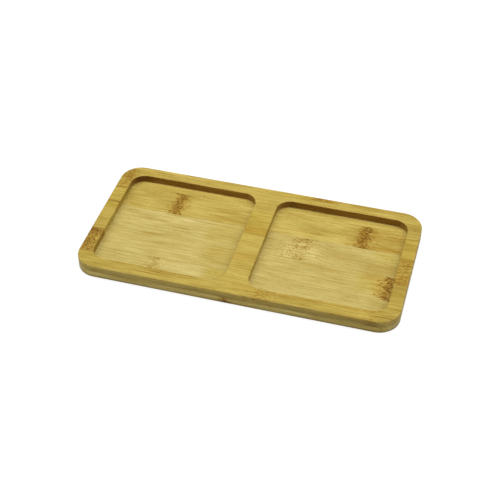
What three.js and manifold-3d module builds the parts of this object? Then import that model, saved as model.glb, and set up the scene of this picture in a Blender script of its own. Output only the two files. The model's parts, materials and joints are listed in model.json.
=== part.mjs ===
// A two-compartment serving tray, routed out of a laminated bamboo board.
//
// Millimetres, +Z up. The origin is the centre of the underside, +X runs along the length and the
// grain, +Y to the back. The board is two plies of bamboo strips laid edge to edge, and the joint
// lines of one ply lie half a strip away from those of the other. The glued board is then routed:
// a rounded outline, eased edges, and two compartments that go through the upper ply and a little
// way into the lower one. Each mesh is what the router leaves of one strip, so a strip of the upper
// ply that crosses the compartments ends up as three blocks: left rim, divider and right rim.

import * as THREE from "three";
import { mergeVertices } from "three/addons/utils/BufferGeometryUtils.js";
import Module from "manifold-3d";

// The board and its lay-up
const trayLength = 240;
const trayWidth = 120;
const plyThickness = 5.25;
const wholeStrips = 4; // strips of full width in each ply, between a part strip along either edge
const frontOffcut = 3; // part strip of the lower ply along the front edge
const backOffcut = 4.5; // part strip of the upper ply along the back edge
const glueLine = 0.1; // film of adhesive in every joint

// The routed outline
const cornerRadius = 16;
const edgeRadius = 0.8; // eased edge round the top
const undersideRadius = 0.5; // eased edge round the underside

// The routed compartments
const rimWidth = 10;
const dividerWidth = 17;
const compartmentRadius = 11; // corners seen from above
const floorBite = 0.65; // how far the floor lies below the top of the lower ply
const footRadius = 0.6; // fillet between floor and wall
const mouthRadius = 0.5; // eased edge round the top of a compartment

// Facets
const arcDivisions = 8; // a corner has twice as many facets
const easingSteps = 4; // facets across an eased edge or a fillet

// The finish
const lowerColour = "#cbb56c";
const upperColour = "#c1a550";
const toneSpread = 0.03; // how far one strip is lighter or darker than the next
const bambooRoughness = 0.5;

// Derived sizes and places
const stripWidth = (trayWidth - frontOffcut - backOffcut) / (wholeStrips + 0.5);
const lowerJoint = frontOffcut - trayWidth / 2; // foremost joint line of each ply
const upperJoint = lowerJoint + stripWidth / 2;
const upperPlyBottom = plyThickness + glueLine;
const trayHeight = upperPlyBottom + plyThickness;
const floorHeight = plyThickness - floorBite;
const compartmentLength = (trayLength - 2 * rimWidth - dividerWidth) / 2;
const compartmentWidth = trayWidth - 2 * rimWidth;
const compartmentCentre = (compartmentLength + dividerWidth) / 2;
const trim = edgeRadius; // what the router takes off the glued board all round

const wasm = await Module();
wasm.setup();

function roundedRectangle(length, width, radius) {
  const x = length / 2 - radius;
  const y = width / 2 - radius;
  const outline = new THREE.Shape();
  outline.absarc(x, y, radius, 0, Math.PI / 2);
  outline.absarc(-x, y, radius, Math.PI / 2, Math.PI);
  outline.absarc(-x, -y, radius, Math.PI, 1.5 * Math.PI);
  outline.absarc(x, -y, radius, 1.5 * Math.PI, 2 * Math.PI);
  return outline;
}

// Stations of a loft along a quarter round, which the station function traces over an angle.
function quarterRound(station) {
  return Array.from({ length: easingSteps + 1 }, (_, i) => station((i / easingSteps) * (Math.PI / 2)));
}

// A closed solid through level sections, listed from the bottom up. Each section is the same
// rounded rectangle, standing out from its nominal outline by an offset at a height.
function loft(length, width, radius, stations) {
  const rings = stations.map(({ offset }) =>
    roundedRectangle(length + 2 * offset, width + 2 * offset, radius + offset).getPoints(arcDivisions),
  );
  const count = rings[0].length;
  const index = [];
  for (let ring = 1; ring < rings.length; ring++) {
    for (let i = 0; i < count; i++) {
      const here = (ring - 1) * count + i;
      const next = (ring - 1) * count + ((i + 1) % count);
      index.push(here, next, next + count, here, next + count, here + count);
    }
  }
  const top = (rings.length - 1) * count;
  for (const [a, b, c] of THREE.ShapeUtils.triangulateShape(rings[0], [])) {
    index.push(c, b, a, top + a, top + b, top + c);
  }
  const points = rings.flatMap((ring, i) => ring.map(({ x, y }) => new THREE.Vector3(x, y, stations[i].z)));
  const geometry = new THREE.BufferGeometry().setFromPoints(points);
  geometry.setIndex(index);
  return geometry;
}

function solidFrom(geometry) {
  geometry.deleteAttribute("normal");
  geometry.deleteAttribute("uv");
  const merged = mergeVertices(geometry);
  const vertProperties = merged.getAttribute("position").array;
  const triVerts = Uint32Array.from(merged.getIndex().array);
  return new wasm.Manifold(new wasm.Mesh({ numProp: 3, vertProperties, triVerts }));
}

function geometryFrom(solid) {
  const { vertProperties, triVerts } = solid.getMesh();
  const geometry = new THREE.BufferGeometry();
  geometry.setAttribute("position", new THREE.BufferAttribute(vertProperties, 3));
  geometry.setIndex(new THREE.BufferAttribute(triVerts, 1));
  geometry.computeVertexNormals();
  return geometry;
}

// The outline of the board, with a quarter round along both edges.
function outlineForm() {
  const underside = quarterRound((angle) => ({
    offset: undersideRadius * (Math.sin(angle) - 1),
    z: undersideRadius * (1 - Math.cos(angle)),
  }));
  const top = quarterRound((angle) => ({
    offset: edgeRadius * (Math.cos(angle) - 1),
    z: trayHeight + edgeRadius * (Math.sin(angle) - 1),
  }));
  return solidFrom(loft(trayLength, trayWidth, cornerRadius, [...underside, ...top]));
}

// What the router clears out of one compartment: a filleted foot, a straight wall, a flared mouth.
function compartmentForm(centreX) {
  const foot = quarterRound((angle) => ({
    offset: footRadius * (Math.sin(angle) - 1),
    z: floorHeight + footRadius * (1 - Math.cos(angle)),
  }));
  const mouth = quarterRound((angle) => ({
    offset: mouthRadius * (1 - Math.cos(angle)),
    z: trayHeight + mouthRadius * (Math.sin(angle) - 1),
  }));
  const above = { offset: mouthRadius, z: trayHeight + trim };
  const form = loft(compartmentLength, compartmentWidth, compartmentRadius, [...foot, ...mouth, above]);
  return solidFrom(form.translate(centreX, 0, 0));
}

const routedBoard = outlineForm()
  .subtract(compartmentForm(-compartmentCentre))
  .subtract(compartmentForm(compartmentCentre));

// The strips of one ply from front to back, as the two edges of each strip's blank.
function stripsOfPly(foremostJoint) {
  const strips = [];
  let front = -trayWidth / 2 - trim;
  for (let k = 0; k <= wholeStrips; k++) {
    const joint = foremostJoint + k * stripWidth;
    strips.push({ front, back: joint - glueLine / 2 });
    front = joint + glueLine / 2;
  }
  strips.push({ front, back: trayWidth / 2 + trim });
  return strips;
}

// Every strip has its own tone, because neighbouring strips come from different culms.
function bamboo(colour, number) {
  const color = new THREE.Color(colour).offsetHSL(0, 0, toneSpread * Math.sin(number * number));
  return new THREE.MeshStandardMaterial({ color, roughness: bambooRoughness, metalness: 0 });
}

// What is left of one blank after routing, as a mesh about its own centre.
function routedStrip(name, material, left, right, { front, back }, bottom, top) {
  const blank = new THREE.BoxGeometry(right - left, back - front, top - bottom);
  blank.translate((left + right) / 2, (front + back) / 2, (bottom + top) / 2);
  const geometry = geometryFrom(routedBoard.intersect(solidFrom(blank)));
  geometry.computeBoundingBox();
  const centre = geometry.boundingBox.getCenter(new THREE.Vector3());
  geometry.translate(-centre.x, -centre.y, -centre.z);
  const mesh = new THREE.Mesh(geometry, material);
  mesh.name = name;
  mesh.position.copy(centre);
  return mesh;
}

const boardEnd = trayLength / 2 + trim;

function lowerPly() {
  const ply = new THREE.Group();
  stripsOfPly(lowerJoint).forEach((strip, i) => {
    const name = `base_strip_${i + 1}`;
    const material = bamboo(lowerColour, i + 1);
    ply.add(routedStrip(name, material, -boardEnd, boardEnd, strip, -trim, plyThickness));
  });
  return ply;
}

// A strip beside the compartments stays whole, as a rail with a notch for each compartment that
// reaches into it. One between their front and back walls is cut through twice.
function upperPly() {
  const ply = new THREE.Group();
  const add = (name, material, left, right, strip) =>
    ply.add(routedStrip(name, material, left, right, strip, upperPlyBottom, trayHeight + trim));
  stripsOfPly(upperJoint).forEach((strip, i) => {
    const number = i + 1;
    const material = bamboo(upperColour, number);
    const cutThrough = strip.front >= -compartmentWidth / 2 && strip.back <= compartmentWidth / 2;
    if (cutThrough) {
      add(`left_rim_${number}`, material, -boardEnd, -compartmentCentre, strip);
      add(`divider_${number}`, material, -compartmentCentre, compartmentCentre, strip);
      add(`right_rim_${number}`, material, compartmentCentre, boardEnd, strip);
    } else {
      const side = strip.front + strip.back < 0 ? "front" : "back";
      add(`${side}_rail_${number}`, material, -boardEnd, boardEnd, strip);
    }
  });
  return ply;
}

const tray = new THREE.Group();
tray.add(lowerPly(), upperPly());

export default tray;
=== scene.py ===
"""The look of a two-compartment bamboo tray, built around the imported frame.

Blender 4.5, metres, +Z up. The tray's strips are the frame's own solids. This script gives every
strip its bamboo, fills the joints with glue, and sets the floor, the light and the camera. Places
and sizes on the tray are in mm: along the grain is X, across it is Y, and heights are Z.
"""

import json
import math
from typing import NamedTuple

import bmesh
import bpy
from mathutils import Matrix, Vector


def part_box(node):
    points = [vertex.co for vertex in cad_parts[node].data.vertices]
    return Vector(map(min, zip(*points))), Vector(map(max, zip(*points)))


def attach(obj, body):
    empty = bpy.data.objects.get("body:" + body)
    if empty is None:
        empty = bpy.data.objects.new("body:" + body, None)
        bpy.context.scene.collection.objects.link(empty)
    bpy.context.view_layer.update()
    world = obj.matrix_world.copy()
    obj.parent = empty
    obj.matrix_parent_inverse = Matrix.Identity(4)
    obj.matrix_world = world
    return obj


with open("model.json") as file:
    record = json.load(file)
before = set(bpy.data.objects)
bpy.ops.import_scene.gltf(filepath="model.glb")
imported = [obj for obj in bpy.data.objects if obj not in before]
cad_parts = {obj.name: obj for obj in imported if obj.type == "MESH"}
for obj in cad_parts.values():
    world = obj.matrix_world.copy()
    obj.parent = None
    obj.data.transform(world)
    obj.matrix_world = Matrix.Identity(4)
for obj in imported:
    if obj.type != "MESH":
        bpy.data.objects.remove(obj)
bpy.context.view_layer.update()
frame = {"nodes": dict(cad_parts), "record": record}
MM = 0.001
DECIMALS = 3
WHITE = (1.0, 1.0, 1.0, 1.0)

# Where the photograph was taken from
CAMERA_AZIMUTH = math.radians(15.58)
CAMERA_ELEVATION = math.radians(42.31)
CAMERA_DISTANCE = 841.4 * MM
CAMERA_AIM = Vector((-1.38, -1.02, -0.13)) * MM
CAMERA_LENS = 80.77
CAMERA_SENSOR = 36.0

# The studio, in metres: a long soft lamp above the tray and along it, and a white panel that glows a
# little
LAMP_PLACE = (0.10, 0.085, 1.2)
LAMP_LENGTH = 4.0
LAMP_WIDTH = 0.36
LAMP_POWER = 38.7
AMBIENT = 0.10
FLOOR_SIZE = 24.0
FLOOR_DROP = 0.05 * MM
FLOOR_WHITE = (0.18, 0.18, 0.18, 1.0)
FLOOR_GLOW = 0.85
FLOOR_ROUGHNESS = 0.9
FLOOR_SPECULAR = 0.1

# The strips of either ply from front to back, each by its only solid or its leftmost one
LOWER_PLY = sorted(name for name in frame["nodes"] if name.startswith("base_strip"))
UPPER_PLY = ("front_rail_1", "left_rim_2", "left_rim_3", "left_rim_4", "back_rail_5", "back_rail_6")


class Box(NamedTuple):
    """The limits of a solid, mm."""

    left: float
    front: float
    bottom: float
    right: float
    back: float
    top: float


def box_of(node):
    """A solid's limits, rounded because the frame's points are 32-bit numbers."""
    lowest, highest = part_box(node)
    return Box(*(round(value / MM, DECIMALS) for value in (*lowest, *highest)))


def joints_of(ply):
    """The middle of each joint between the strips of a ply, from front to back, mm."""
    boxes = [box_of(name) for name in ply]
    return [(nearer.back + farther.front) / 2 for nearer, farther in zip(boxes, boxes[1:])]


def mount_height(name):
    """How high one of the record's mounts lies, mm."""
    mounts = {mount["name"]: mount for mount in frame["record"]["mounts"]}
    return round(mounts[name]["pos_m"][2] / MM, DECIMALS)


class Outline(NamedTuple):
    """A rounded rectangle seen from above, mm, about a centre on the tray's middle line along X."""

    length: float
    width: float
    radius: float
    centre: float = 0.0


# The board, from its solids
FRONT_STRIP = box_of(LOWER_PLY[0])
BACK_STRIP = box_of(LOWER_PLY[-1])
RIM = box_of("left_rim_3")
DIVIDER = box_of("divider_3")
PLY = FRONT_STRIP.top
GLUE_LINE = RIM.bottom - PLY
TOP = RIM.top
FLOOR_HEIGHT = mount_height("left_compartment_floor")
FRONT_FACE = FRONT_STRIP.front

# Its outlines, with the radii of their corners and the facets of those arcs in the solids
CORNER_RADIUS = 16.0
COMPARTMENT_RADIUS = 11.0
CORNER_FACETS = 16
TRAY = Outline(-2 * RIM.left, BACK_STRIP.back - FRONT_STRIP.front, CORNER_RADIUS)
COMPARTMENT_LENGTH = DIVIDER.left - RIM.right
COMPARTMENT_WIDTH = TRAY.width - 2 * (RIM.right - RIM.left)
COMPARTMENT_CENTRE = (DIVIDER.left + RIM.right) / 2
COMPARTMENTS = tuple(
    Outline(COMPARTMENT_LENGTH, COMPARTMENT_WIDTH, COMPARTMENT_RADIUS, centre)
    for centre in (COMPARTMENT_CENTRE, -COMPARTMENT_CENTRE)
)

# The glue: how far it lies below the surface and off the strips, and the rounded edges it keeps
# clear of, mm
GLUE_RECESS = 0.05
GLUE_CLEARANCE = 0.005
EDGE_ROUND = 0.8
UNDERSIDE_ROUND = 0.5

# Bamboo and glue colours, linear
STRAW = Vector((0.470, 0.376, 0.109))
HONEY = Vector((0.423, 0.305, 0.042))
GLUE_AMBER = (0.300, 0.190, 0.040, 1.0)

# What turns the tone of a strip into its lighter and darker parts; some of them also paint light and shade,
# as said at each
# PALE also paints light on the compartments' end walls and a highlight on the arrises
PALE = Vector((1.26, 1.31, 1.62))
DEEP = Vector((0.77, 0.70, 0.48))
WARM = Vector((0.86, 0.73, 0.46))
# A golden tone, and painted shade on the floor along the compartments' right walls, warmed like light
# bounced off the walls
GOLDEN_AND_WALL_SHADE = Vector((0.93, 0.90, 0.60))
# Painted shade, reddened like light bounced off the wood, on the compartments' walls that face front or back
WALL_SHADE = Vector((0.85, 0.62, 0.60))
# A grey darkening: the strip's own tone in some stains, and painted shade on the outer ends, round the front
# right corner and at a back wall's foot
DULL_AND_SHADE = Vector((0.78, 0.76, 0.78))
# A strong grey darkening: a dark line in one strip, and painted shade round the foot of the outer faces
GRIME_AND_SHADE = Vector((0.60, 0.59, 0.60))
# Painted shade in the compartments' corners
CORNER_SHADE = Vector((0.48, 0.36, 0.32))

# What is left of the light after one measure of the brown dye in nodes, lines, flecks and stains
DYE = Vector((0.73, 0.605, 0.36))


NOISE_MEAN = 0.5
NOISE_DETAIL = 2.0


class Texture(NamedTuple):
    """Noise drawn out along the grain: waves per mm along and across it, and the limits it fades between."""

    along: float
    across: float
    low: float
    high: float
    detail: float = NOISE_DETAIL


class Wander(NamedTuple):
    """Noise about zero: waves per mm along and across the grain, and how widely it strays."""

    along: float
    across: float
    width: float


class Stroke(NamedTuple):
    """A noise in the dark strokes of a node: waves per mm along and across the grain, and its share."""

    along: float
    across: float
    share: float


# Where things lie in the noise: the first strip's seed, the step between the stains or the nodes of
# a strip, and how far one whole seed moves a place, mm. The strips are one seed apart.
FIRST_SEED = 1.0
SEED_STEP = 0.37
SEED_STRIDE = (61.7, 17.3, 29.1)

# The grain between the nodes, with the shares of its tone and the dye in its dark parts
GRAIN_DRIFT = Wander(0.015, 0.05, 1.2)
PATCH = Texture(0.030, 0.058, 0.32, 0.68)
STREAK = Texture(0.045, 1.0, 0.34, 0.66, detail=3.0)
LINE = Texture(0.030, 1.10, 0.57, 0.69)
FLECK = Texture(0.40, 1.20, 0.58, 0.70)
FIBRE = Texture(0.05, 3.6, 0.35, 0.65)
PATCH_SHARE = 0.29
STREAK_SHARE = 0.46
FIBRE_SHARE = 0.25
LINE_DYE = 0.65
FLECK_DYE = 0.6

# Where the grain swerves beyond a node, and over what half length, mm
SWERVE_LAG = 11.0
SWERVE_REACH = 10.0

# A node: its core, the strokes where its fibres tangle, and a fringe of hairs, which is as wide as
# the core divided by FRINGE_SCALE
CORE_EDGE = Wander(0.05, 0.22, 8.0)
MOTTLE = Texture(0.20, 0.35, 0.35, 0.65)
MOTTLE_RANGE = (0.6, 1.3)
FRINGE_SCALE = 0.42
FRINGE_FADE = (0.2, 0.7)
TANGLE = Wander(0.14, 0.14, 4.5)
HAIR = Texture(0.10, 0.9, 0.50, 0.62)
COARSE_STROKE = Stroke(0.33, 1.0, 0.75)
FINE_STROKE = Stroke(0.9, 3.2, 0.25)
STROKE_FADE = (0.57, 0.70)
HAIR_WARMTH = 1.1
STROKE_DYE = 3.0

# The scar of a bud in a node, in shares of its half width, with a ring of strokes round it
SCAR_SQUASH = 0.77
SCAR_EDGE = Wander(0.25, 0.25, 2.6)
SCAR_FADE = (0.5, 1.1)
RING_PLACE = 1.1
RING_SHARPNESS = 6.0
RING_DENSITY = 0.08

# A scar that is too small to show: its place along and across and its half width, mm
NO_SCAR = (0.0, 0.0, 0.01)

# A stain fades over this distance either side of its ends, mm, and its edges are fibrous
STAIN_EASE = 5.0
STAIN_EDGE = Wander(0.03, 0.5, 2.0)

# The cut ends of the fibres: dots per mm along each axis, and where a dot fades out
DOT_WAVES = (0.0, 1.35, 1.75)
DOT_FADE = (0.20, 0.42)
DOT_DYE = 0.5

# Painted shade in the back left corner of either compartment: its strengths, and its half width in mm
CORNER_SHADE_STRENGTHS = (1.0, 0.75)
CORNER_SHADE_REACH = 11.0

# Limits of how far a surface faces along X, Y or Z, from 0 to 1, or from -1 where it can face down
END_FACING = (0.5, 0.85)
SIDE_FACING = (0.25, 0.75)
LEVEL_FACING = (0.3, 0.7)
ARRIS_RISES = (0.15, 0.5)
ARRIS_LEVELS_OUT = (0.85, 0.98)
UNDERSIDE_FACING = (-0.95, -0.7)

# Where the painted light and shade fade, mm: outwards from the compartments' walls, down from the top, up
# from the underside
WALL_MARGIN = (2.0, 4.0)
ARRIS_DEPTH = (1.6, 0.6)
FOOT_HEIGHT = (1.1, 2.3)

# How strong the painted shade on the walls and the outer ends and the painted highlight on the arrises are
WALL_SHADE_STRENGTH = 0.9
OUTER_END_SHADE = 0.6
ARRIS_HIGHLIGHT = 0.5

# The finish of the bamboo, with its roughness from the ground to the fibres
STREAK_RELIEF = 0.4
LINE_RELIEF = -0.5
RELIEF_STRENGTH = 0.2
RELIEF_DEPTH = 0.06 * MM
BAMBOO_ROUGHNESS = (0.66, 0.52)
BAMBOO_SPECULAR = 0.2

# The finish of the glue, which is clouded, with its roughness from the dark parts to the light ones
GLUE_CLOUD = Texture(0.2, 0.6, 0.35, 0.65)
GLUE_DARKENING = 0.6
GLUE_ROUGHNESS = (0.35, 0.5)

# The smooth shading of the solids
MERGE_DISTANCE = 0.001 * MM
SHARP_ANGLE = math.radians(30)


class NodeMark(NamedTuple):
    """Where a strip holds one of the culm's nodes: place and half width along the grain, in mm.

    A node is tinted and specked, with strokes of some fineness and density. It can hold the scar of
    a bud, a spot without specks that is given by its place along and across and its half width. The
    grain beyond the node along X can swerve by a few mm.
    """

    place: float
    reach: float
    tint: float
    specks: float
    scar: tuple = NO_SCAR
    swerve: float = 0.0
    fineness: float = 1.0
    density: float = 0.15


class Stain(NamedTuple):
    """A streak in a strip: its two ends along the grain, its line and half width across, in mm.

    It runs at a level, or along the face that shows most of the strip.
    """

    start: float
    end: float
    line: float
    reach: float
    strength: float
    shift: Vector = WARM
    level: float = None


class Strip(NamedTuple):
    """One strip of bamboo: the solids that are left of it, and its look.

    Straw says how far its tone lies from honey to straw, shade makes the tone lighter or darker,
    contrast makes its grain stronger or weaker, and the last field is the painted light on its cut
    ends in the compartments.
    """

    pieces: tuple
    straw: float
    marks: tuple = ()
    stains: tuple = ()
    shade: float = 1.0
    contrast: float = 1.0
    painted_end_light: float = 0.15


# Ends of stains that run past an end of the tray or the rightmost wall, or across a whole rim or the
# divider, mm
PAST_LEFT = RIM.left - STAIN_EASE
PAST_RIGHT = -PAST_LEFT
PAST_WALL = STAIN_EASE - RIM.right
LEFT_RIM = (PAST_LEFT, RIM.right + STAIN_EASE)
MIDDLE = (DIVIDER.left - STAIN_EASE, DIVIDER.right + STAIN_EASE)
RIGHT_RIM = (-RIM.right - STAIN_EASE, PAST_RIGHT)

STRIPS = (
    Strip(
        pieces=("base_strip_1",),
        straw=0.45,
        marks=(NodeMark(-3.6, 2.2, 1.2, 1.0),),
        stains=(
            Stain(PAST_LEFT, 60, FRONT_FACE, 2.0, 0.45, PALE, 3.8),
            # Painted light round the front left corner
            Stain(-112, -92, FRONT_FACE, 1.5, 0.4, PALE, 4.2),
            # Painted shade round the front right corner
            Stain(92, 112, FRONT_FACE, 1.8, 0.5, DEEP, 4.2),
            Stain(-7, 1, FRONT_FACE, 1.0, 1.0, DYE, 1.5),
        ),
    ),
    Strip(
        pieces=("base_strip_2",),
        straw=0.95,
        marks=(NodeMark(-64, 6.5, 0.0, 0.42, fineness=1.3, density=0.12),),
        stains=(
            Stain(-75, -28, -38, 7, 0.5, PALE),
            Stain(14, 110, -38, 7, 0.15, DEEP),
            Stain(24, 56, -45, 4, 0.4, PALE),
            # Painted shade on the floor along the divider, warmed like light bounced off it
            Stain(-25, -5, -37, 7, 0.95, GOLDEN_AND_WALL_SHADE),
            Stain(95, PAST_WALL, -37, 6, 0.5, DEEP),
            # Painted shade round the front right corner
            Stain(114, PAST_RIGHT, -51, 9, 0.7, DULL_AND_SHADE, 1.5),
        ),
        shade=0.97,
        contrast=0.82,
    ),
    Strip(
        pieces=("base_strip_3",),
        straw=0.95,
        marks=(NodeMark(106.2, 4.8, 0.25, 0.85),),
        stains=(
            Stain(-84, -71, -8.2, 1.2, 0.9),
            Stain(-57, -42, -8.4, 1.0, 0.5),
            Stain(42, 70, -11, 1.5, 0.5),
            Stain(15, 60, -22, 0.7, 0.5),
            Stain(-35, -5, -18, 8, 0.2),
            Stain(-66, -36, -25.5, 6, 0.6, PALE),
            # The next two are painted shade on the floor along the compartments' right walls, warmed like
            # light bounced off the walls
            Stain(-30, -5, -16, 11, 0.55, GOLDEN_AND_WALL_SHADE),
            Stain(84, PAST_WALL, -16, 12, 0.7, GOLDEN_AND_WALL_SHADE),
            Stain(88, PAST_WALL, -10, 5, 0.65),
            Stain(96, PAST_WALL, -22, 7, 0.85),
        ),
        contrast=0.82,
    ),
    Strip(
        pieces=("base_strip_4",),
        straw=1.00,
        marks=(
            NodeMark(34, 10, 0.0, 0.70, scar=(36.8, 10.8, 3.2), swerve=2.5, fineness=1.6, density=0.085),
        ),
        stains=(
            Stain(24, 50, 3, 10, 0.75, PALE),
            Stain(33, 41, 15.2, 1.3, 0.9, DYE),
            Stain(36, 40, -4.6, 0.7, 0.6, DYE),
            Stain(-110, -70, 8, 0.8, 0.6, DYE),
            Stain(-61, -52, 4, 0.9, 0.6),
            Stain(60, 74, 4, 3, 0.4),
            Stain(52, PAST_WALL, 3, 9, 0.35, DEEP),
            Stain(84, PAST_WALL, -2, 6, 0.5),
            Stain(-80, -52, 11.5, 6, 0.6, PALE),
            Stain(-38, -5, 1, 9, 0.3, DEEP),
            # The next two are painted shade on the floor along the compartments' right walls, warmed like
            # light bounced off the walls
            Stain(-36, -5, 6, 12, 0.5, GOLDEN_AND_WALL_SHADE),
            Stain(92, PAST_WALL, 12, 6, 0.7, GOLDEN_AND_WALL_SHADE),
        ),
        contrast=0.92,
    ),
    Strip(
        pieces=("base_strip_5",),
        straw=0.45,
        marks=(
            NodeMark(-67, 4.8, 0.55, 0.80, fineness=1.15),
            NodeMark(79.5, 5.6, 0.70, 0.80, fineness=1.3),
        ),
        stains=(
            Stain(-88, -72, 30, 8, 0.4, DEEP),
            Stain(0, 64, 20, 4, 0.35, PALE),
            Stain(15, 60, 37, 5, 0.2, PALE),
            Stain(-47, -12, 22.5, 3.5, 0.4),
            Stain(-40, -18, 33, 2, 0.35),
            Stain(86, 112, 20.5, 3, 0.9),
            # Painted shade, warm, on the floor along the right compartment's right wall
            Stain(86, 112, 34, 7, 0.5),
            Stain(95, PAST_WALL, 28, 10, 0.4, DEEP),
            Stain(10, 55, 24.5, 0.9, 0.6),
        ),
        contrast=1.1,
    ),
    Strip(
        pieces=("base_strip_6",),
        straw=0.40,
        stains=(
            Stain(-PAST_WALL, -5, 45, 2.5, 0.35, DEEP),
            Stain(5, PAST_WALL, 44, 1.8, 0.6, PALE),
            # Painted shadow along the foot of the right compartment's back wall
            Stain(12, PAST_WALL, 50, 2.4, 0.8, DULL_AND_SHADE),
        ),
    ),
    Strip(
        pieces=("front_rail_1",),
        straw=0.25,
        marks=(
            NodeMark(20, 9, 0.10, 0.34, fineness=1.3, density=0.13),
            NodeMark(101, 5, 0.0, 0.18),
        ),
        stains=(
            Stain(-72, -28, -51.0, 0.5, 1.0, DYE),
            Stain(-62, -30, -53.3, 0.5, 0.9, DYE),
            Stain(-80, -40, -55.5, 0.5, 0.9, DYE),
            Stain(36, 102, -51.5, 1.4, 0.7),
            Stain(0, 16, -52, 1.8, 0.5),
            Stain(-22, 8, -56, 5, 0.25, PALE),
            Stain(PAST_LEFT, -84, -58.5, 2.5, 0.2, DEEP),
            Stain(34, 60, -56.5, 3, 0.4, DEEP),
            Stain(-88, -56, -58, 1.8, 0.3, DEEP),
            Stain(74, 90, -56, 2.2, 0.4, DEEP),
            Stain(PAST_LEFT, PAST_RIGHT, FRONT_FACE, 1.3, 0.7, DULL_AND_SHADE, 6.4),
            Stain(34, 108, FRONT_FACE, 2.2, 0.6, DULL_AND_SHADE, 7.4),
            Stain(97, 106, FRONT_FACE, 1.3, 0.6, DYE, 8.8),
            Stain(66, 108, FRONT_FACE, 1.6, 0.5, WARM, 9.2),
            Stain(14, 27, FRONT_FACE, 2.6, 0.6, PALE, 8.0),
            # Painted shade round the front right corner
            Stain(106, PAST_RIGHT, -55, 6, 0.6, DULL_AND_SHADE, 6.5),
            Stain(98, 118, -50, 4, 0.4, DEEP),
            Stain(5, 34, -54, 4, 0.28, PALE),
        ),
        shade=0.96,
    ),
    Strip(
        pieces=("left_rim_2", "divider_2", "right_rim_2"),
        straw=0.30,
        marks=(NodeMark(-116, 10, 0.20, 0.78, fineness=1.9),),
        stains=(
            Stain(*LEFT_RIM, -22, 4, 0.7, DYE),
            Stain(*LEFT_RIM, -41, 4, 0.7, PALE),
            Stain(-12, 12, -22, 2.7, 0.6),
            Stain(*RIGHT_RIM, -28, 11, 0.95, DEEP),
            Stain(*RIGHT_RIM, -25, 6, 0.3, DULL_AND_SHADE),
        ),
    ),
    Strip(
        pieces=("left_rim_3", "divider_3", "right_rim_3"),
        straw=0.30,
        marks=(NodeMark(115, 9, 0.02, 0.50, fineness=1.3),),
        stains=(
            Stain(*LEFT_RIM, -7, 14, 0.5, DEEP),
            Stain(*LEFT_RIM, -14, 0.6, 0.7, PALE),
            Stain(*LEFT_RIM, -18.9, 0.6, 0.9, DYE),
            Stain(*MIDDLE, -5, 9, 0.1, DEEP),
            Stain(*MIDDLE, -17, 3, 0.4),
            Stain(*RIGHT_RIM, -15.5, 4.0, 0.6),
            Stain(*RIGHT_RIM, -18.6, 1.2, 0.6, DYE),
            Stain(*RIGHT_RIM, 0, 4, 0.25, PALE),
        ),
        painted_end_light=0.6,
    ),
    Strip(
        pieces=("left_rim_4", "divider_4", "right_rim_4"),
        straw=0.15,
        stains=(
            Stain(*LEFT_RIM, 13.9, 1.4, 0.8, DYE),
            Stain(*LEFT_RIM, 13.9, 0.8, 0.5, GRIME_AND_SHADE),
            Stain(*LEFT_RIM, 8, 4, 0.4, DEEP),
            Stain(*MIDDLE, 9.5, 4.5, 0.8),
            Stain(*RIGHT_RIM, 20, 8, 0.5, DEEP),
            Stain(*RIGHT_RIM, 7.0, 2.2, 0.9, DYE),
            Stain(*RIGHT_RIM, 30, 0.6, 0.7, DYE),
        ),
        painted_end_light=0.0,
    ),
    Strip(
        pieces=("back_rail_5",),
        straw=0.35,
        marks=(NodeMark(-114, 5.5, 0.10, 0.40, fineness=1.5),),
        stains=(
            Stain(-122, -108, 47, 4.5, 0.6, DYE),
            Stain(PAST_LEFT, -112, 37, 3, 0.4),
            Stain(100, PAST_RIGHT, 40, 9, 0.5, DEEP),
            Stain(100, PAST_RIGHT, 40, 12, 0.4, DULL_AND_SHADE),
            Stain(36, 54, 53, 2.5, 0.35, PALE),
            Stain(-34, 14, 53, 2.5, 0.25, DEEP),
        ),
    ),
    Strip(
        pieces=("back_rail_6",),
        straw=0.40,
        marks=(NodeMark(40, 11, 0.4, 0.3),),
        stains=(
            Stain(30, 51, 58, 2.5, 0.9),
            Stain(66, PAST_RIGHT, 58, 3, 0.6, DEEP),
            Stain(92, PAST_RIGHT, 58, 3, 0.4, DEEP),
            Stain(-90, -72, 58, 3, 0.6, PALE),
            Stain(2, 30, 58, 3, 0.8, GOLDEN_AND_WALL_SHADE),
        ),
        shade=1.04,
    ),
)


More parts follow.
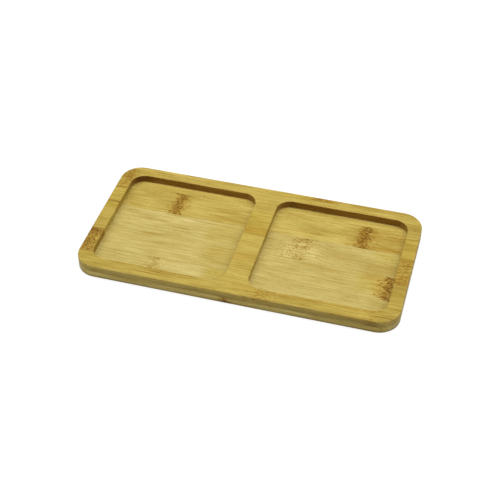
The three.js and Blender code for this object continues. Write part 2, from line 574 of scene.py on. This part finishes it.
class Shader:
    """Short spellings for one node tree. A value is a number, a tuple or another node's socket."""

    def __init__(self, tree):
        self.tree = tree

    def feed(self, socket, value):
        if isinstance(value, bpy.types.NodeSocket):
            self.tree.links.new(value, socket)
        else:
            socket.default_value = value

    def add(self, kind, inputs=None, **settings):
        node = self.tree.nodes.new(kind)
        for name, value in settings.items():
            setattr(node, name, value)
        for key, value in (inputs or {}).items():
            self.feed(node.inputs[key], value)
        return node

    def math(self, operation, *values):
        node = self.add("ShaderNodeMath", dict(enumerate(values)), operation=operation)
        return node.outputs[0]

    def product(self, *values):
        result = values[0]
        for value in values[1:]:
            result = self.math("MULTIPLY", result, value)
        return result

    def hypotenuse(self, one, other):
        squares = self.math("ADD", self.product(one, one), self.product(other, other))
        return self.math("SQRT", squares)

    def vector(self, operation, *values):
        node = self.add("ShaderNodeVectorMath", dict(enumerate(values)), operation=operation)
        return node.outputs[0]

    def combine(self, x, y, z):
        return self.add("ShaderNodeCombineXYZ", {0: x, 1: y, 2: z}).outputs[0]

    def separate(self, vector):
        return self.add("ShaderNodeSeparateXYZ", {0: vector}).outputs

    def position(self):
        """Where a point lies in the tray, mm."""
        coordinates = self.add("ShaderNodeTexCoord").outputs["Object"]
        return self.vector("MULTIPLY", coordinates, (1 / MM, 1 / MM, 1 / MM))

    def noise(self, position, look, detail=NOISE_DETAIL):
        """Noise with a look's waves per mm along X and across it."""
        vector = self.vector("MULTIPLY", position, (look.along, look.across, look.across))
        inputs = {"Vector": vector, "Scale": 1.0, "Detail": detail}
        return self.add("ShaderNodeTexNoise", inputs).outputs[0]

    def texture(self, position, look, at_low=0.0, at_high=1.0):
        """Noise that steps from one number to another between a look's limits."""
        value = self.noise(position, look, look.detail)
        return self.step(value, look.low, look.high, at_low, at_high)

    def wander(self, position, look):
        """Noise about zero, as wide as a look says."""
        about_zero = self.math("SUBTRACT", self.noise(position, look), NOISE_MEAN)
        return self.product(about_zero, look.width)

    def step(self, value, low, high, at_low=0.0, at_high=1.0):
        """A smooth step from one number to another, as a value goes from a low limit to a high one."""
        inputs = {0: value, 1: low, 2: high, 3: at_low, 4: at_high}
        return self.add("ShaderNodeMapRange", inputs, interpolation_type="SMOOTHSTEP").outputs[0]

    def step_down(self, value, low, high):
        """A smooth step from 1 to 0."""
        return self.step(value, low, high, 1.0, 0.0)

    def bell(self, distance):
        """1 at a distance of 0, falling to 0.37 at 1."""
        return self.math("EXPONENT", self.product(distance, distance, -1.0))

    def mix(self, factor, at_zero, at_one):
        """A mix of two colours, for which the node has its inputs 6 and 7 and its output 2."""
        inputs = {0: factor, 6: at_zero, 7: at_one}
        return self.add("ShaderNodeMix", inputs, data_type="RGBA").outputs[2]

    def shifted(self, colour, amount, shift):
        """The colour, shifted by an amount from 0 to 1."""
        return self.vector("MULTIPLY", colour, self.mix(amount, WHITE, (*shift, 1.0)))

    def dyed(self, colour, measures):
        """The colour under some measures of dye."""
        dye = self.vector("POWER", DYE, self.combine(measures, measures, measures))
        return self.vector("MULTIPLY", colour, dye)

    def group(self, group, inputs):
        return self.add("ShaderNodeGroup", inputs, node_tree=group).outputs


def new_group(name, inputs, outputs):
    """A node group with its shader, the sockets that come in and the node that takes what goes out."""
    tree = bpy.data.node_groups.new(name, "ShaderNodeTree")
    for socket in inputs:
        kind = "NodeSocketVector" if socket == "Position" else "NodeSocketFloat"
        tree.interface.new_socket(socket, in_out="INPUT", socket_type=kind)
    for socket in outputs:
        tree.interface.new_socket(socket, in_out="OUTPUT", socket_type="NodeSocketFloat")
    shader = Shader(tree)
    return tree, shader, shader.add("NodeGroupInput").outputs, shader.add("NodeGroupOutput").inputs


def new_material(name):
    """A material with its shader and the node that makes its surface."""
    material = bpy.data.materials.new(name)
    material.use_nodes = True
    return material, Shader(material.node_tree), material.node_tree.nodes["Principled BSDF"]


def seeded(shader, given):
    """The position, moved to a place of its own in the noise."""
    shift = shader.combine(*(shader.product(given["Seed"], stride) for stride in SEED_STRIDE))
    return shader.vector("ADD", given["Position"], shift)


def strayed(shader, place, look):
    """The place, moved across the grain by a wander."""
    aside = shader.wander(place, look)
    return shader.vector("ADD", place, shader.combine(0.0, aside, aside))


def grain_group():
    """Bamboo between the nodes: patches, streaks, dark lines, flecks and fibres, drawn out along X."""
    textures = {"Patch": PATCH, "Streak": STREAK, "Line": LINE, "Fleck": FLECK, "Fibre": FIBRE}
    tree, shader, given, out = new_group("bamboo_grain", ("Position", "Seed"), textures)
    place = strayed(shader, seeded(shader, given), GRAIN_DRIFT)
    for name, look in textures.items():
        shader.feed(out[name], shader.texture(place, look))
    return tree


def scar_distance(shader, given, place):
    """How far a point lies from the middle of a bud's scar, in ragged half widths of the scar."""
    along, across, _ = shader.separate(given["Position"])
    beside = shader.math("SUBTRACT", along, given["Scar X"])
    behind = shader.product(shader.math("SUBTRACT", across, given["Scar Y"]), SCAR_SQUASH)
    distance = shader.math("DIVIDE", shader.hypotenuse(beside, behind), given["Scar Reach"])
    return shader.math("ADD", distance, shader.wander(place, SCAR_EDGE))


def tangle_of_strokes(shader, given, place, density):
    """Coarse and fine strokes along tangled fibres, with more of them where they are dense."""
    fineness = given["Fineness"]
    place = shader.vector("MULTIPLY", place, shader.combine(fineness, fineness, fineness))
    for stroke in (COARSE_STROKE, FINE_STROKE):
        density = shader.math("MULTIPLY_ADD", shader.noise(place, stroke), stroke.share, density)
    return shader.step(density, *STROKE_FADE)


def node_mark_group():
    """A node of the culm: a mottled core, a fringe of hairs, and dark strokes where the fibres tangle."""
    inputs = ("Position", "Seed", "Place", "Reach", "Fineness", "Density", "Scar X", "Scar Y", "Scar Reach")
    tree, shader, given, out = new_group("bamboo_node", inputs, ("Core", "Hairs", "Strokes"))
    place = seeded(shader, given)
    tangled = strayed(shader, place, TANGLE)
    beside = shader.math("SUBTRACT", shader.separate(given["Position"])["X"], given["Place"])
    ragged = shader.math("ADD", beside, shader.wander(place, CORE_EDGE))
    distance = shader.math("DIVIDE", ragged, given["Reach"])
    core = shader.bell(distance)
    fringe = shader.bell(shader.product(distance, FRINGE_SCALE))
    from_scar = scar_distance(shader, given, place)
    off_scar = shader.step(from_scar, *SCAR_FADE)
    from_ring = shader.math("SUBTRACT", from_scar, RING_PLACE)
    ring = shader.bell(shader.product(from_ring, RING_SHARPNESS))
    density = shader.math("MULTIPLY_ADD", core, given["Density"], shader.product(ring, RING_DENSITY))
    strokes = tangle_of_strokes(shader, given, tangled, density)
    mottle = shader.texture(place, MOTTLE, *MOTTLE_RANGE)
    shader.feed(out["Core"], shader.product(core, mottle, off_scar))
    shader.feed(out["Hairs"], shader.product(shader.texture(tangled, HAIR), fringe))
    shader.feed(out["Strokes"], shader.product(strokes, shader.step(fringe, *FRINGE_FADE), off_scar))
    return tree


def stain_group():
    """A streak with soft ends and fibrous edges."""
    inputs = ("Position", "Seed", "Start", "End", "Line", "Level", "Reach")
    tree, shader, given, out = new_group("bamboo_stain", inputs, ("Amount",))
    along, across, height = shader.separate(given["Position"])
    after_start = shader.step(shader.math("SUBTRACT", along, given["Start"]), -STAIN_EASE, STAIN_EASE)
    before_end = shader.step(shader.math("SUBTRACT", given["End"], along), -STAIN_EASE, STAIN_EASE)
    wander = shader.product(shader.wander(seeded(shader, given), STAIN_EDGE), given["Reach"])
    aside = shader.math("ADD", shader.math("SUBTRACT", across, given["Line"]), wander)
    above = shader.math("SUBTRACT", height, given["Level"])
    distance = shader.math("DIVIDE", shader.hypotenuse(aside, above), given["Reach"])
    shader.feed(out["Amount"], shader.product(after_start, before_end, shader.bell(distance)))
    return tree


def corner_shade_group():
    """Painted shade round the middle of the back left corner of each compartment."""
    tree, shader, given, out = new_group("painted_corner_shade", ("Position",), ("Amount",))
    along, across, _ = shader.separate(given["Position"])
    amount = 0.0
    for outline, strength in zip(COMPARTMENTS, CORNER_SHADE_STRENGTHS):
        # The middle of a corner's arc lies this far in from both its walls
        set_in = outline.radius * (1 - math.sin(math.pi / 4))
        aside = shader.math("SUBTRACT", along, outline.centre - outline.length / 2 + set_in)
        behind = shader.math("SUBTRACT", across, outline.width / 2 - set_in)
        distance = shader.product(shader.hypotenuse(aside, behind), 1 / CORNER_SHADE_REACH)
        amount = shader.math("MULTIPLY_ADD", shader.bell(distance), strength, amount)
    shader.feed(out["Amount"], amount)
    return tree


def end_grain_group():
    """The cut ends of the fibres: dark dots in pale ground."""
    tree, shader, given, out = new_group("bamboo_end_grain", ("Position", "Seed"), ("Dots",))
    flat = shader.vector("MULTIPLY", seeded(shader, given), DOT_WAVES)
    cells = shader.add("ShaderNodeTexVoronoi", {"Vector": flat, "Scale": 1.0}, feature="F1")
    shader.feed(out["Dots"], shader.step_down(cells.outputs["Distance"], *DOT_FADE))
    return tree


def placed(position, seed, number=0):
    """The inputs that give a stain, a node or the end grain its own place in the noise."""
    return {"Position": position, "Seed": seed + SEED_STEP * number}


def swerved(shader, position, marks):
    """The position, with the grain swerving beyond the nodes that turn it."""
    along = shader.separate(position)["X"]
    for mark in marks:
        if mark.swerve:
            beyond = shader.math("SUBTRACT", along, mark.place + SWERVE_LAG)
            lift = shader.product(shader.bell(shader.product(beyond, 1 / SWERVE_REACH)), mark.swerve)
            position = shader.vector("SUBTRACT", position, shader.combine(0.0, lift, 0.0))
    return position


def grain_colour(shader, strip, grain):
    """The colour of a strip between its nodes."""
    tone = HONEY.lerp(STRAW, strip.straw) * strip.shade
    value = shader.product(grain["Fibre"], FIBRE_SHARE)
    value = shader.math("MULTIPLY_ADD", grain["Streak"], STREAK_SHARE, value)
    value = shader.math("MULTIPLY_ADD", grain["Patch"], PATCH_SHARE, value)
    value = shader.math("MULTIPLY_ADD", value, strip.contrast, NOISE_MEAN * (1 - strip.contrast))
    colour = shader.vector("MULTIPLY", shader.mix(value, (*DEEP, 1.0), (*PALE, 1.0)), tone)
    dye = shader.product(grain["Fleck"], FLECK_DYE)
    dye = shader.math("MULTIPLY_ADD", grain["Line"], LINE_DYE, dye)
    return shader.dyed(colour, shader.product(dye, strip.contrast))


def stained(shader, colour, strip, position, seed, group):
    """The colour with the strip's stains."""
    face = FLOOR_HEIGHT if strip.pieces[0] in LOWER_PLY else TOP
    for number, stain in enumerate(strip.stains):
        inputs = placed(position, seed, number)
        inputs |= {"Start": stain.start, "End": stain.end, "Line": stain.line, "Reach": stain.reach}
        inputs["Level"] = face if stain.level is None else stain.level
        amount = shader.group(group, inputs)["Amount"]
        colour = shader.shifted(colour, shader.product(amount, stain.strength), stain.shift)
    return colour


def marked(shader, colour, strip, position, seed, group):
    """The colour with the strip's nodes."""
    for number, mark in enumerate(strip.marks):
        inputs = placed(position, seed, number)
        inputs |= {"Place": mark.place, "Reach": mark.reach}
        inputs |= {"Fineness": mark.fineness, "Density": mark.density}
        inputs |= dict(zip(("Scar X", "Scar Y", "Scar Reach"), mark.scar))
        core, hairs, strokes = shader.group(group, inputs)
        colour = shader.shifted(colour, shader.product(hairs, HAIR_WARMTH * mark.tint), WARM)
        dye = shader.product(strokes, STROKE_DYE * mark.specks)
        colour = shader.dyed(colour, shader.math("MULTIPLY_ADD", core, mark.tint, dye))
    return colour


def inside(shader, position):
    """1 on the surfaces of the compartments, and 0 on the outer faces."""
    along, across, _ = shader.separate(position)
    walls = (abs(RIM.right), COMPARTMENT_WIDTH / 2)
    steps = []
    for place, wall in zip((along, across), walls):
        limits = [wall + margin for margin in WALL_MARGIN]
        steps.append(shader.step_down(shader.math("ABSOLUTE", place), *limits))
    return shader.product(*steps)


def shaded_walls(shader, colour, position, facing, inner, group):
    """The colour with painted shade: walls that face front or back darker and redder, like light bounced off
    the wood, and darker back left corners.
    """
    # Painted shade on the compartments' walls that face front or back
    front_or_back_wall = shader.step(shader.math("ABSOLUTE", facing["Y"]), *SIDE_FACING)
    colour = shader.shifted(colour, shader.product(front_or_back_wall, inner, WALL_SHADE_STRENGTH), WALL_SHADE)
    upright = shader.step_down(shader.math("ABSOLUTE", facing["Z"]), *LEVEL_FACING)
    # Painted shade in the back left corners of the compartments
    corner_shade = shader.group(group, {"Position": position})["Amount"]
    return shader.shifted(colour, shader.product(corner_shade, upright, inner), CORNER_SHADE)


def cut_across(shader, colour, strip, facing, inner, dots):
    """The colour with dotted ends, which get painted light in the compartments and painted shade on the
    outside.
    """
    end = shader.step(shader.math("ABSOLUTE", facing["X"]), *END_FACING)
    outer = shader.math("SUBTRACT", 1.0, inner)
    # Painted light on the end walls in the compartments, painted shade on the outer ends
    colour = shader.shifted(colour, shader.product(end, inner, strip.painted_end_light), PALE)
    colour = shader.shifted(colour, shader.product(end, outer, OUTER_END_SHADE), DULL_AND_SHADE)
    return shader.dyed(colour, shader.product(dots, end, DOT_DYE))


def edge_light_and_foot_shade(shader, colour, height, facing):
    """The colour with a painted highlight on the arrises round the top, and painted shade round the foot of
    the outer face.
    """
    rising = shader.step(facing["Z"], *ARRIS_RISES)
    short_of_level = shader.step_down(facing["Z"], *ARRIS_LEVELS_OUT)
    near_top = shader.step(height, *(TOP - depth for depth in ARRIS_DEPTH))
    arris_highlight = shader.product(rising, short_of_level, near_top)
    # Painted highlight on the arrises round the top
    colour = shader.shifted(colour, shader.product(arris_highlight, ARRIS_HIGHLIGHT), PALE)
    # Painted shade round the foot of the outer faces
    off_underside = shader.step(facing["Z"], *UNDERSIDE_FACING)
    foot = shader.product(shader.step_down(height, *FOOT_HEIGHT), off_underside)
    return shader.shifted(colour, foot, GRIME_AND_SHADE)


def relief_of(shader, grain):
    """The normal of a surface on which fibres and streaks stand out and dark lines lie deep."""
    height = shader.math("MULTIPLY_ADD", grain["Line"], LINE_RELIEF, grain["Fibre"])
    height = shader.math("MULTIPLY_ADD", grain["Streak"], STREAK_RELIEF, height)
    inputs = {"Strength": RELIEF_STRENGTH, "Distance": RELIEF_DEPTH, "Height": height}
    return shader.add("ShaderNodeBump", inputs).outputs["Normal"]


def bamboo(strip, seed, groups):
    """The material of one strip."""
    material, shader, principled = new_material(f"bamboo_{strip.pieces[0]}")
    position = shader.position()
    facing = shader.separate(shader.add("ShaderNodeNewGeometry").outputs["Normal"])
    inner = inside(shader, position)
    grain = shader.group(groups["grain"], placed(swerved(shader, position, strip.marks), seed))
    dots = shader.group(groups["end_grain"], placed(position, seed))["Dots"]
    colour = grain_colour(shader, strip, grain)
    colour = stained(shader, colour, strip, position, seed, groups["stain"])
    colour = marked(shader, colour, strip, position, seed, groups["node"])
    colour = shaded_walls(shader, colour, position, facing, inner, groups["corner_shade"])
    colour = cut_across(shader, colour, strip, facing, inner, dots)
    colour = edge_light_and_foot_shade(shader, colour, shader.separate(position)["Z"], facing)
    roughness = shader.step(grain["Fibre"], 0.0, 1.0, *BAMBOO_ROUGHNESS)
    shader.feed(principled.inputs["Base Color"], colour)
    shader.feed(principled.inputs["Roughness"], roughness)
    shader.feed(principled.inputs["Specular IOR Level"], BAMBOO_SPECULAR)
    shader.feed(principled.inputs["Normal"], relief_of(shader, grain))
    return material


def smoothing_group():
    """Joins the facets of a solid and rounds the shading over its arcs, but not over its edges."""
    tree = bpy.data.node_groups.new("smooth_arcs", "GeometryNodeTree")
    tree.interface.new_socket("Geometry", in_out="INPUT", socket_type="NodeSocketGeometry")
    tree.interface.new_socket("Geometry", in_out="OUTPUT", socket_type="NodeSocketGeometry")
    nodes = Shader(tree)
    given = nodes.add("NodeGroupInput").outputs[0]
    merged = nodes.add("GeometryNodeMergeByDistance", {"Geometry": given, "Distance": MERGE_DISTANCE})
    angle = nodes.add("GeometryNodeInputMeshEdgeAngle").outputs["Unsigned Angle"]
    sharp = nodes.add("FunctionNodeCompare", {0: angle, 1: SHARP_ANGLE}, operation="GREATER_THAN")
    normals = nodes.add("GeometryNodeSetMeshNormal", {"Mesh": merged.outputs[0]}, mode="SHARPNESS")
    nodes.feed(normals.inputs["Remove Custom"], True)
    nodes.feed(normals.inputs["Edge Sharpness"], sharp.outputs[0])
    nodes.feed(normals.inputs["Face Sharpness"], False)
    nodes.feed(nodes.add("NodeGroupOutput").inputs[0], normals.outputs[0])
    return tree


def dress_strips():
    groups = {
        "grain": grain_group(),
        "node": node_mark_group(),
        "stain": stain_group(),
        "end_grain": end_grain_group(),
        "corner_shade": corner_shade_group(),
    }
    smoothing = smoothing_group()
    for number, strip in enumerate(STRIPS):
        material = bamboo(strip, FIRST_SEED + number, groups)
        for name in strip.pieces:
            piece = frame["nodes"][name]
            piece.material_slots[0].material = material
            piece.modifiers.new("smooth_arcs", "NODES").node_group = smoothing
            piece.modifiers.new("flat_faces", "WEIGHTED_NORMAL").keep_sharp = True


def points_round(outline, inset):
    """Points round an outline that is drawn in by an inset, mm."""
    points = []
    radius = outline.radius - inset
    for quarter, (side_x, side_y) in enumerate(((1, 1), (-1, 1), (-1, -1), (1, -1))):
        x = outline.centre + side_x * (outline.length / 2 - outline.radius)
        y = side_y * (outline.width / 2 - outline.radius)
        for step in range(CORNER_FACETS + 1):
            angle = (quarter + step / CORNER_FACETS) * math.pi / 2
            points.append((x + radius * math.cos(angle), y + radius * math.sin(angle)))
    return points


def half_length(outline, y, inset):
    """Half the chord of a drawn-in outline at a distance from its middle line along X, mm."""
    into_corner = max(0.0, abs(y) - (outline.width / 2 - outline.radius))
    corner_reach = math.sqrt((outline.radius - inset) ** 2 - into_corner**2)
    return outline.length / 2 - outline.radius + corner_reach


def spans_of(joint):
    """The spans of a joint that the compartments leave: all of it, or left rim, divider and right rim."""
    end = half_length(TRAY, joint, GLUE_RECESS)
    edges = [-end]
    for outline in COMPARTMENTS:
        if abs(joint) < outline.width / 2:
            half = half_length(outline, joint, -GLUE_RECESS)
            edges += [outline.centre - half, outline.centre + half]
    edges.append(end)
    return list(zip(edges[::2], edges[1::2]))


def glue_material():
    material, shader, principled = new_material("glue")
    cloud = shader.texture(shader.position(), GLUE_CLOUD)
    dark = tuple(GLUE_DARKENING * channel for channel in GLUE_AMBER[:3]) + (1.0,)
    shader.feed(principled.inputs["Base Color"], shader.mix(cloud, dark, GLUE_AMBER))
    shader.feed(principled.inputs["Roughness"], shader.step(cloud, 0.0, 1.0, *GLUE_ROUGHNESS))
    return material


def add_piece(name, mesh, material):
    """Makes a piece of the tray out of a mesh in mm."""
    for vertex in mesh.verts:
        vertex.co *= MM
    bmesh.ops.recalc_face_normals(mesh, faces=mesh.faces)
    data = bpy.data.meshes.new(name)
    mesh.to_mesh(data)
    mesh.free()
    data.materials.append(material)
    piece = bpy.data.objects.new(name, data)
    bpy.context.collection.objects.link(piece)
    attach(piece, "root")


def add_block(mesh, joint, left, right, bottom, top):
    """A block of glue along a joint."""
    centre = Vector(((left + right) / 2, joint, (bottom + top) / 2))
    size = Vector((right - left, GLUE_LINE - 2 * GLUE_CLEARANCE, top - bottom))
    bmesh.ops.create_cube(mesh, size=1.0, matrix=Matrix.LocRotScale(centre, None, size))


def add_lower_glue(material):
    """The films in the lower ply, shorter at its rounded foot and cut away by the compartments."""
    mesh = bmesh.new()
    below_floor = FLOOR_HEIGHT - GLUE_RECESS
    for joint in joints_of(LOWER_PLY):
        end = half_length(TRAY, joint, GLUE_RECESS)
        foot = end - UNDERSIDE_ROUND
        add_block(mesh, joint, -foot, foot, GLUE_RECESS, UNDERSIDE_ROUND)
        add_block(mesh, joint, -end, end, UNDERSIDE_ROUND, below_floor)
        for left, right in spans_of(joint):
            add_block(mesh, joint, left, right, below_floor, PLY)
    add_piece("glue_lower_ply", mesh, material)


def add_upper_glue(material):
    """The films in the upper ply, shorter at its rounded edges."""
    mesh = bmesh.new()
    shoulder = TOP - EDGE_ROUND
    for joint in joints_of(UPPER_PLY):
        for left, right in spans_of(joint):
            add_block(mesh, joint, left, right, PLY + GLUE_LINE, shoulder)
            add_block(mesh, joint, left + EDGE_ROUND, right - EDGE_ROUND, shoulder, TOP - GLUE_RECESS)
    add_piece("glue_upper_ply", mesh, material)


def add_middle_glue(material):
    """The film between the plies, open over the compartments."""
    mesh = bmesh.new()
    rings = [points_round(TRAY, GLUE_RECESS)]
    rings += [points_round(outline, -GLUE_RECESS) for outline in COMPARTMENTS]
    for ring in rings:
        vertices = [mesh.verts.new((x, y, PLY + GLUE_CLEARANCE)) for x, y in ring]
        for one, other in zip(vertices, vertices[1:] + vertices[:1]):
            mesh.edges.new((one, other))
    sheet = bmesh.ops.triangle_fill(mesh, edges=mesh.edges, use_beauty=True)["geom"]
    faces = [item for item in sheet if isinstance(item, bmesh.types.BMFace)]
    for item in bmesh.ops.extrude_face_region(mesh, geom=faces)["geom"]:
        if isinstance(item, bmesh.types.BMVert):
            item.co.z += GLUE_LINE - 2 * GLUE_CLEARANCE
    add_piece("glue_between_plies", mesh, material)


def add_glue():
    material = glue_material()
    add_lower_glue(material)
    add_upper_glue(material)
    add_middle_glue(material)


def add_floor():
    bpy.ops.mesh.primitive_plane_add(size=FLOOR_SIZE, location=(0.0, 0.0, -FLOOR_DROP))
    floor = bpy.context.object
    floor.name = "floor"
    material, _, principled = new_material("white_panel")
    principled.inputs["Base Color"].default_value = FLOOR_WHITE
    principled.inputs["Roughness"].default_value = FLOOR_ROUGHNESS
    principled.inputs["Specular IOR Level"].default_value = FLOOR_SPECULAR
    principled.inputs["Emission Color"].default_value = WHITE
    principled.inputs["Emission Strength"].default_value = FLOOR_GLOW
    floor.data.materials.append(material)


def add_light():
    world = bpy.data.worlds.new("studio")
    world.use_nodes = True
    background = world.node_tree.nodes["Background"]
    background.inputs["Color"].default_value = WHITE
    background.inputs["Strength"].default_value = AMBIENT
    bpy.context.scene.world = world
    light = bpy.data.lights.new("overhead", "AREA")
    light.shape = "RECTANGLE"
    light.size = LAMP_LENGTH
    light.size_y = LAMP_WIDTH
    light.energy = LAMP_POWER
    lamp = bpy.data.objects.new("overhead", light)
    lamp.location = LAMP_PLACE
    bpy.context.collection.objects.link(lamp)


def add_camera():
    camera = bpy.data.objects.new("camera", bpy.data.cameras.new("camera"))
    camera.data.lens = CAMERA_LENS
    camera.data.sensor_width = CAMERA_SENSOR
    level = math.cos(CAMERA_ELEVATION)
    away_x = math.sin(CAMERA_AZIMUTH) * level
    away_y = -math.cos(CAMERA_AZIMUTH) * level
    away = Vector((away_x, away_y, math.sin(CAMERA_ELEVATION)))
    camera.location = CAMERA_AIM + away * CAMERA_DISTANCE
    camera.rotation_euler = away.to_track_quat("Z", "Y").to_euler()
    bpy.context.collection.objects.link(camera)
    bpy.context.scene.camera = camera


add_camera()
add_floor()
add_light()
dress_strips()
add_glue()
bpy.context.scene.view_settings.view_transform = "Standard"
